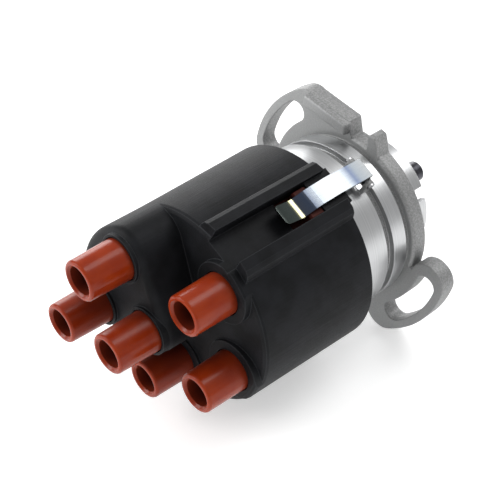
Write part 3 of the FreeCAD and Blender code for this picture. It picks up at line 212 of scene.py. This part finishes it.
def paintHollowShade(tree, place, colour, gloss, paintedShade):
    # painted shade: the colour darkens toward tone in bores and recesses, where ambient occlusion finds
    # them, and more so inside the cap; the gloss dulls there too
    openness = addNode(tree, "ShaderNodeAmbientOcclusion", {"samples": raySamples},
                       {"Distance": paintedShade["reach"] * mm})
    axes = addNode(tree, "ShaderNodeSeparateXYZ", None, {"Vector": place})
    outside, inside = paintedShade["inside"]
    depth = addNode(tree, "ShaderNodeMapRange", None,
                    {"Value": axes.outputs["Y"], "From Min": outside * mm, "From Max": inside * mm,
                     "To Min": 1.0, "To Max": paintedShade["kept"]})
    # clear is the share of the colour that the painted shade leaves
    clear = addNode(tree, "ShaderNodeMath", {"operation": "MULTIPLY"},
                    {0: openness.outputs["AO"], 1: depth.outputs["Result"]}).outputs["Value"]
    shaded = addNode(tree, "ShaderNodeMix", {"data_type": "RGBA"},
                     {"Factor": clear, colourA: linear(paintedShade["tone"]), colourB: colour})
    dulled = addNode(tree, "ShaderNodeMix", None, {"Factor": clear, "A": paintedShade["gloss"], "B": gloss})
    return shaded.outputs[colourOut], dulled.outputs["Result"]


def rubAndLightEdges(tree, edge, colour, gleam):
    # edges are painted paler, for rubbed wear and as a painted highlight on their rounding: that is where
    # the rounded normal leaves the true one
    face = addNode(tree, "ShaderNodeNewGeometry")
    lean = addNode(tree, "ShaderNodeVectorMath", {"operation": "DOT_PRODUCT"},
                   {0: edge.outputs["Normal"], 1: face.outputs["Normal"]})
    rubbedAndLit = addNode(tree, "ShaderNodeMapRange", None,
                     {"Value": lean.outputs["Value"],
                      "From Min": gleam["start"], "From Max": gleam["full"]})
    # painted highlight and wear: the colour is mixed toward the paler edge tone
    wornAndLit = addNode(tree, "ShaderNodeMix", {"data_type": "RGBA"},
                   {"Factor": rubbedAndLit.outputs["Result"],
                    colourA: colour, colourB: linear(gleam["tone"])})
    return wornAndLit.outputs[colourOut]


def drawLines(tree, place, under, draw):
    # faint lines along Y, the way the piece leaves its mould
    flow = addNode(tree, "ShaderNodeMapping", None,
                   {"Vector": place, "Scale": (1.0, draw["stretch"], 1.0)})
    lines = addNode(tree, "ShaderNodeTexNoise", None,
                    {"Vector": flow.outputs["Vector"], "Scale": 1 / (draw["width"] * mm), "Detail": 2.0})
    return addNode(tree, "ShaderNodeBump", None,
                   {"Strength": 1.0, "Distance": draw["lift"] * mm,
                    "Height": lines.outputs["Fac"], "Normal": under.outputs["Normal"]})


def plainFinish(setup):
    material, tree = newMaterial(setup["name"])
    place = addNode(tree, "ShaderNodeTexCoord").outputs["Object"]
    drift = addNode(tree, "ShaderNodeTexNoise", None,
                    {"Vector": place, "Scale": 1 / (setup["drift"] * mm), "Detail": 2.0})
    grain = addNode(tree, "ShaderNodeTexNoise", None,
                    {"Vector": place, "Scale": 1 / (setup["grain"] * mm), "Detail": 3.0, "Roughness": 0.6})
    colour = addNode(tree, "ShaderNodeValToRGB", {"stops": list(zip(driftSpan, setup["tones"]))},
                     {"Fac": drift.outputs["Fac"]}).outputs["Color"]
    glossLow, glossHigh = setup["gloss"]
    gloss = addNode(tree, "ShaderNodeMapRange", None,
                    {"Value": grain.outputs["Fac"], "From Min": noiseLow, "From Max": noiseHigh,
                     "To Min": glossLow, "To Max": glossHigh}).outputs["Result"]
    if "paintedShade" in setup:
        colour, gloss = paintHollowShade(tree, place, colour, gloss, setup["paintedShade"])
    edge = addNode(tree, "ShaderNodeBevel", {"samples": raySamples}, {"Radius": setup["edge"] * mm})
    if "gleam" in setup:
        colour = rubAndLightEdges(tree, edge, colour, setup["gleam"])
    lift = addNode(tree, "ShaderNodeBump", None,
                   {"Strength": 1.0, "Distance": setup["lift"] * mm,
                    "Height": grain.outputs["Fac"], "Normal": edge.outputs["Normal"]})
    if "draw" in setup:
        lift = drawLines(tree, place, lift, setup["draw"])
    values = {"Base Color": colour, "Metallic": setup.get("metal", 0.0),
              "Roughness": gloss, "Normal": lift.outputs["Normal"]}
    if "ior" in setup:
        values["IOR"] = setup["ior"]
    if "specular" in setup:
        values["Specular IOR Level"] = setup["specular"]
    closeMaterial(tree, addNode(tree, "ShaderNodeBsdfPrincipled", None, values))
    return material


# Pressure die-cast aluminium. The skin from the die is dull, grey and a little mottled; where
# it has been turned on a lathe it is bright, with fine rings round the shaft.
castSetup = {
    "name": "dieCastAluminium",
    # colour stops along the pattern of each surface: (position, colour)
    "skin": [(0.36, "#868787"), (0.64, "#9f9f9f")],
    # faces square to the shaft: less mottled, as from the polished half of the die, and painted lighter
    # for the light they catch
    "litFlat": [(0.30, "#979898"), (0.70, "#a2a3a3")],
    "turned": [(0.35, "#bcbdbe"), (0.65, "#c6c7c8")],
    # a face starts to take, and fully takes, the painted lighter tones where its normal lies this far
    # along the shaft
    "square": (0.6, 0.95),
    # millimetres; the real blast grain and tool feed are about 0.1 and are drawn coarser to show
    "mottle": 0.7,
    "blast": 0.45,
    "blastLift": 0.045,
    "feed": 0.6,
    "feedLift": 0.0002,
    "skinGloss": (0.52, 0.66),
    "turnedGloss": (0.30, 0.34),
    "skinMetal": 0.65,
    # the die leaves rounder edges than the lathe tool
    "edge": (0.9, 0.3),
    # each turned stretch: from y, to y, out to radius
    "stretches": [(-44.2, -20.3, 36.0), (-16.6, -8.5, 36.0), (-0.2, 15.0, 60.0)],
}


def turnedMask(tree, along, radius, stretches):
    # 1 where the lathe tool has been, 0 on the skin from the die
    mask = 0.0
    for start, end, reach in stretches:
        between = addNode(tree, "ShaderNodeMath", {"operation": "COMPARE"},
                          {0: along, 1: (start + end) / 2 * mm, 2: (end - start) / 2 * mm})
        within = addNode(tree, "ShaderNodeMath", {"operation": "LESS_THAN"}, {0: radius, 1: reach * mm})
        both = addNode(tree, "ShaderNodeMath", {"operation": "MULTIPLY"},
                       {0: between.outputs["Value"], 1: within.outputs["Value"]})
        mask = addNode(tree, "ShaderNodeMath", {"operation": "MAXIMUM"},
                       {0: mask, 1: both.outputs["Value"]}).outputs["Value"]
    return mask


def castColour(tree, coordinates, rings, mask, setup):
    mottle = addNode(tree, "ShaderNodeTexNoise", None,
                     {"Vector": coordinates.outputs["Object"],
                      "Scale": 1 / (setup["mottle"] * mm), "Detail": 4.0})
    skin = addNode(tree, "ShaderNodeValToRGB", {"stops": setup["skin"]}, {"Fac": mottle.outputs["Fac"]})
    litFlat = addNode(tree, "ShaderNodeValToRGB", {"stops": setup["litFlat"]}, {"Fac": mottle.outputs["Fac"]})
    turned = addNode(tree, "ShaderNodeValToRGB", {"stops": setup["turned"]}, {"Fac": rings.outputs["Fac"]})
    facing = addNode(tree, "ShaderNodeSeparateXYZ", None, {"Vector": coordinates.outputs["Normal"]})
    alongShaft = addNode(tree, "ShaderNodeMath", {"operation": "ABSOLUTE"}, {0: facing.outputs["Y"]})
    squareStart, squareFull = setup["square"]
    square = addNode(tree, "ShaderNodeMapRange", None,
                     {"Value": alongShaft.outputs["Value"],
                      "From Min": squareStart, "From Max": squareFull})
    # painted light: faces square to the shaft take the lighter tones made for them, for the light they
    # catch
    raw = addNode(tree, "ShaderNodeMix", {"data_type": "RGBA"},
                  {"Factor": square.outputs["Result"],
                   colourA: skin.outputs["Color"], colourB: litFlat.outputs["Color"]})
    whole = addNode(tree, "ShaderNodeMix", {"data_type": "RGBA"},
                    {"Factor": mask, colourA: raw.outputs[colourOut], colourB: turned.outputs["Color"]})
    return whole.outputs[colourOut]


def castGloss(tree, blast, rings, mask, setup):
    skinLow, skinHigh = setup["skinGloss"]
    skin = addNode(tree, "ShaderNodeMapRange", None,
                   {"Value": blast.outputs["Fac"], "From Min": noiseLow, "From Max": noiseHigh,
                    "To Min": skinLow, "To Max": skinHigh})
    turnedLow, turnedHigh = setup["turnedGloss"]
    turned = addNode(tree, "ShaderNodeMapRange", None,
                     {"Value": rings.outputs["Fac"], "From Min": noiseLow, "From Max": noiseHigh,
                      "To Min": turnedLow, "To Max": turnedHigh})
    return addNode(tree, "ShaderNodeMix", None,
                   {"Factor": mask, "A": skin.outputs["Result"],
                    "B": turned.outputs["Result"]}).outputs["Result"]


def castRelief(tree, blast, rings, mask, setup):
    # the bump below is as high as the rings, so the skin's grain is scaled up to its own height
    skin = addNode(tree, "ShaderNodeMath", {"operation": "MULTIPLY"},
                   {0: blast.outputs["Fac"], 1: setup["blastLift"] / setup["feedLift"]})
    height = addNode(tree, "ShaderNodeMix", None,
                     {"Factor": mask, "A": skin.outputs["Value"], "B": rings.outputs["Fac"]})
    castEdge, turnedEdge = setup["edge"]
    corner = addNode(tree, "ShaderNodeMapRange", None,
                     {"Value": mask, "To Min": castEdge * mm, "To Max": turnedEdge * mm})
    edge = addNode(tree, "ShaderNodeBevel", {"samples": raySamples}, {"Radius": corner.outputs["Result"]})
    return addNode(tree, "ShaderNodeBump", None,
                   {"Strength": 1.0, "Distance": setup["feedLift"] * mm,
                    "Height": height.outputs["Result"],
                    "Normal": edge.outputs["Normal"]}).outputs["Normal"]


def castFinish(setup):
    material, tree = newMaterial(setup["name"])
    coordinates = addNode(tree, "ShaderNodeTexCoord")
    axes = addNode(tree, "ShaderNodeSeparateXYZ", None, {"Vector": coordinates.outputs["Object"]})
    across = addNode(tree, "ShaderNodeCombineXYZ", None, {"X": axes.outputs["X"], "Y": axes.outputs["Z"]})
    radius = addNode(tree, "ShaderNodeVectorMath", {"operation": "LENGTH"}, {0: across.outputs["Vector"]})
    mask = turnedMask(tree, axes.outputs["Y"], radius.outputs["Value"], setup["stretches"])
    # lathe rings: a one-way noise along the tool's path, which is y on a barrel and radius on a face
    path = addNode(tree, "ShaderNodeMath", {"operation": "ADD"},
                   {0: axes.outputs["Y"], 1: radius.outputs["Value"]})
    rings = addNode(tree, "ShaderNodeTexNoise", {"noise_dimensions": "1D"},
                    {"W": path.outputs["Value"], "Scale": 1 / (setup["feed"] * mm), "Detail": 2.0})
    blast = addNode(tree, "ShaderNodeTexNoise", None,
                    {"Vector": coordinates.outputs["Object"],
                     "Scale": 1 / (setup["blast"] * mm), "Detail": 3.0})
    metal = addNode(tree, "ShaderNodeMapRange", None,
                    {"Value": mask, "To Min": setup["skinMetal"], "To Max": 1.0})
    shader = addNode(tree, "ShaderNodeBsdfPrincipled", None,
                     {"Base Color": castColour(tree, coordinates, rings, mask, setup),
                      "Metallic": metal.outputs["Result"],
                      "Roughness": castGloss(tree, blast, rings, mask, setup),
                      "Normal": castRelief(tree, blast, rings, mask, setup)})
    closeMaterial(tree, shader)
    return material


# Spring steel strip, bright zinc plated and clear passivated: pale grey with fine rolling lines along it.
# Across it, near its bends, lie dark blue-grey and straw bands of painted shade and painted highlight,
# tinted as the passivation is.
zincSetup = {
    "name": "passivatedZinc",
    # colour bands of painted shade, painted highlight and tint along the strip: (y in mm, colour)
    "tintAndShadeBands": [
        (-66.0, "#8f9894"), (-62.5, "#454d4a"), (-57.0, "#505856"), (-55.4, "#a5a27f"),
        (-54.4, "#bbb78f"), (-53.6, "#434853"), (-50.0, "#3f485a"), (-46.0, "#7b8188"),
        (-40.0, "#909294"), (-31.0, "#868b8f"), (-27.0, "#4a5263"), (-24.5, "#5e6368"),
        (-19.0, "#6b6d6e"),
    ],
    # millimetres: the bands wander by up to stray, over patches of this size
    "patch": 6.0,
    "stray": 0.9,
    # the real rolling lines are finer and are drawn this wide to show
    "line": 0.3,
    "stretch": 0.05,
    "lift": 0.003,
    "gloss": (0.17, 0.24),
    "edge": 0.2,
}


def zincFinish(setup):
    material, tree = newMaterial(setup["name"])
    place = addNode(tree, "ShaderNodeTexCoord").outputs["Object"]
    patch = addNode(tree, "ShaderNodeTexNoise", None,
                    {"Vector": place, "Scale": 1 / (setup["patch"] * mm), "Detail": 1.0})
    axes = addNode(tree, "ShaderNodeSeparateXYZ", None, {"Vector": place})
    # the bands wander a little, so they are read at y plus a slow noise
    stray = addNode(tree, "ShaderNodeMath", {"operation": "MULTIPLY_ADD"},
                    {0: patch.outputs["Fac"], 1: setup["stray"] * mm, 2: axes.outputs["Y"]})
    first, last = setup["tintAndShadeBands"][0][0], setup["tintAndShadeBands"][-1][0]
    along = addNode(tree, "ShaderNodeMapRange", None,
                    {"Value": stray.outputs["Value"], "From Min": first * mm, "From Max": last * mm})
    stops = [((y - first) / (last - first), colour) for y, colour in setup["tintAndShadeBands"]]
    # painted shade and highlight: the colour is read from these bands along y
    tintAndShadeBands = addNode(tree, "ShaderNodeValToRGB", {"stops": stops}, {"Fac": along.outputs["Result"]})
    flow = addNode(tree, "ShaderNodeMapping", None,
                   {"Vector": place, "Scale": (1.0, setup["stretch"], 1.0)})
    lines = addNode(tree, "ShaderNodeTexNoise", None,
                    {"Vector": flow.outputs["Vector"], "Scale": 1 / (setup["line"] * mm), "Detail": 2.0})
    glossLow, glossHigh = setup["gloss"]
    gloss = addNode(tree, "ShaderNodeMapRange", None,
                    {"Value": lines.outputs["Fac"], "From Min": noiseLow, "From Max": noiseHigh,
                     "To Min": glossLow, "To Max": glossHigh})
    edge = addNode(tree, "ShaderNodeBevel", {"samples": raySamples}, {"Radius": setup["edge"] * mm})
    lift = addNode(tree, "ShaderNodeBump", None,
                   {"Strength": 1.0, "Distance": setup["lift"] * mm,
                    "Height": lines.outputs["Fac"], "Normal": edge.outputs["Normal"]})
    shader = addNode(tree, "ShaderNodeBsdfPrincipled", None,
                     {"Base Color": tintAndShadeBands.outputs["Color"], "Metallic": 1.0,
                      "Roughness": gloss.outputs["Result"], "Normal": lift.outputs["Normal"]})
    closeMaterial(tree, shader)
    return material


slotFinish = {slot: plainFinish(setup) for slot, setup in plainSetups.items()}
slotFinish["cast_aluminium"] = castFinish(castSetup)
slotFinish["zinc_spring_steel"] = zincFinish(zincSetup)
print("finishes made")


def dressNodes():
    slots = {part["node"]: part["material_slot"] for part in frame["record"]["subparts"]}
    for name, node in frame["nodes"].items():
        material = slotFinish[slots[name]]
        if node.material_slots:
            for held in node.material_slots:
                held.material = material
        else:
            node.data.materials.append(material)
    print("nodes dressed")


dressNodes()

# The pad cast along the straight side of the near ear: it carries that side on toward the cap.
# Millimetres.
earPadSetup = {
    # the two corners of the straight side, (x, z)
    "corners": ((-24.7, 47.5), (-0.8, 43.5)),
    # sunk into the flange at the first y, square up to the second, drafted out to the third
    "sunk": -6.0,
    "square": -7.6,
    "crest": -9.8,
    # share of the length and the width that is left at the crest, so that the die can leave
    "draft": (0.97, 0.88),
    "width": 5.5,
    "inset": 0.1,
    # how far the pad stops short of each corner; below 0 it goes past
    "short": (1.6, -1.2),
    "round": 0.8,
    "roundSteps": 4,
    # degrees; flatter joints between faces are shaded smooth
    "smoothBelow": 40,
    # a face whose normal's y is below this looks at the cap
    "frontNormal": -0.9,
}


def makeEarPad(setup):
    start, end = (Vector(corner) for corner in setup["corners"])
    side = (end - start).normalized()
    inward = Vector((side.y, -side.x))
    shortStart, shortEnd = setup["short"]
    start = start + side * shortStart
    end = end - side * shortEnd
    middle = (start + end) / 2 + inward * (setup["width"] / 2 + setup["inset"])
    length = (end - start).length
    bpy.ops.object.select_all(action="DESELECT")
    bpy.ops.mesh.primitive_cube_add(size=mm, location=(0, 0, 0))
    pad = bpy.context.object
    pad.name = "earPad"
    bpy.ops.transform.resize(value=(length, setup["sunk"] - setup["square"], setup["width"]))
    bpy.ops.object.transform_apply(location=False, rotation=False, scale=True)
    # the face toward the cap is drawn out and narrowed
    for group in (pad.data.vertices, pad.data.edges, pad.data.polygons):
        group.foreach_set("select", [False] * len(group))
    for face in pad.data.polygons:
        face.select = face.normal.y < setup["frontNormal"]
    bpy.context.tool_settings.mesh_select_mode = (False, False, True)
    bpy.ops.object.mode_set(mode="EDIT")
    rise = (setup["crest"] - setup["square"]) * mm
    bpy.ops.mesh.extrude_region_move(TRANSFORM_OT_translate={"value": (0, rise, 0)})
    draftLength, draftWidth = setup["draft"]
    bpy.ops.transform.resize(value=(draftLength, 1, draftWidth))
    bpy.ops.object.mode_set(mode="OBJECT")
    pad.rotation_euler = (0.0, -math.atan2(side.y, side.x), 0.0)
    pad.location = Vector((middle.x, (setup["sunk"] + setup["square"]) / 2, middle.y)) * mm
    bpy.ops.object.transform_apply(location=True, rotation=True, scale=True)
    bevel = pad.modifiers.new("castRound", "BEVEL")
    bevel.width = setup["round"] * mm
    bevel.segments = setup["roundSteps"]
    bpy.ops.object.modifier_apply(modifier=bevel.name)
    bpy.ops.object.shade_smooth_by_angle(angle=math.radians(setup["smoothBelow"]))
    pad.data.materials.append(slotFinish["cast_aluminium"])
    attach(pad, "fixed")
    print("ear pad made")


makeEarPad(earPadSetup)

# A white floor under the object: matt card that glows a little, so that it stays nearly white.
floorSetup = {
    "tone": "#f7f7f7",
    "gloss": 0.9,
    "glow": 0.45,
    # metres
    "size": 12.0,
    # millimetres below the object
    "drop": 0.2,
}


def makeFloor(setup):
    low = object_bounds()[0]
    bpy.ops.object.select_all(action="DESELECT")
    bpy.ops.mesh.primitive_plane_add(size=setup["size"], location=(0, 0, low[2] - setup["drop"] * mm))
    floor = bpy.context.object
    floor.name = "floor"
    material, tree = newMaterial("paleFloor")
    closeMaterial(tree, addNode(tree, "ShaderNodeBsdfPrincipled", None,
                                {"Base Color": linear(setup["tone"]), "Roughness": setup["gloss"],
                                 "Emission Color": linear(setup["tone"]),
                                 "Emission Strength": setup["glow"]}))
    floor.data.materials.append(material)
    floor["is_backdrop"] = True
    print("floor made")


makeFloor(floorSetup)

# White light from all round, weaker at the horizon than straight up.
skySetup = {
    "horizon": 0.33,
    "zenith": 0.70,
}


def makeSky(setup):
    world = bpy.data.worlds.new("studio")
    world.use_nodes = True
    tree = world.node_tree
    tree.nodes.clear()
    around = addNode(tree, "ShaderNodeTexCoord")
    axes = addNode(tree, "ShaderNodeSeparateXYZ", None, {"Vector": around.outputs["Generated"]})
    strength = addNode(tree, "ShaderNodeMapRange", None,
                       {"Value": axes.outputs["Z"],
                        "To Min": setup["horizon"], "To Max": setup["zenith"]})
    sky = addNode(tree, "ShaderNodeBackground", None,
                  {"Color": (1.0, 1.0, 1.0, 1.0), "Strength": strength.outputs["Result"]})
    addNode(tree, "ShaderNodeOutputWorld", None, {"Surface": sky.outputs["Background"]})
    bpy.context.scene.world = world
    print("sky made")


makeSky(skySetup)

# Large soft boxes, as in a product photograph, all aimed at the origin: place and size in
# metres, then watts.
softboxSetup = {
    "topSoftbox": ((0.20, 0.60, 1.0), (0.5, 0.8), 5.2),
    "frontSoftbox": ((-1.0, -1.0, 0.65), (0.8, 0.8), 15.0),
    "leftSoftbox": ((-1.0, 0.65, 0.32), (1.0, 0.6), 7.0),
    "rightSoftbox": ((1.0, 0.5, 0.25), (0.4, 0.5), 0.2),
}


def makeSoftboxes(setup):
    for name, (place, size, watts) in setup.items():
        data = bpy.data.lights.new(name, "AREA")
        data.shape = "RECTANGLE"
        data.size, data.size_y = size
        data.energy = watts
        lamp = bpy.data.objects.new(name, data)
        bpy.context.collection.objects.link(lamp)
        lamp.location = place
        lamp.rotation_euler = (-Vector(place)).to_track_quat("-Z", "Y").to_euler()
    print("soft boxes made")


makeSoftboxes(softboxSetup)


def setView():
    view = bpy.context.scene.view_settings
    view.view_transform = "Standard"
    view.look = "None"
    print("view set")


setView()
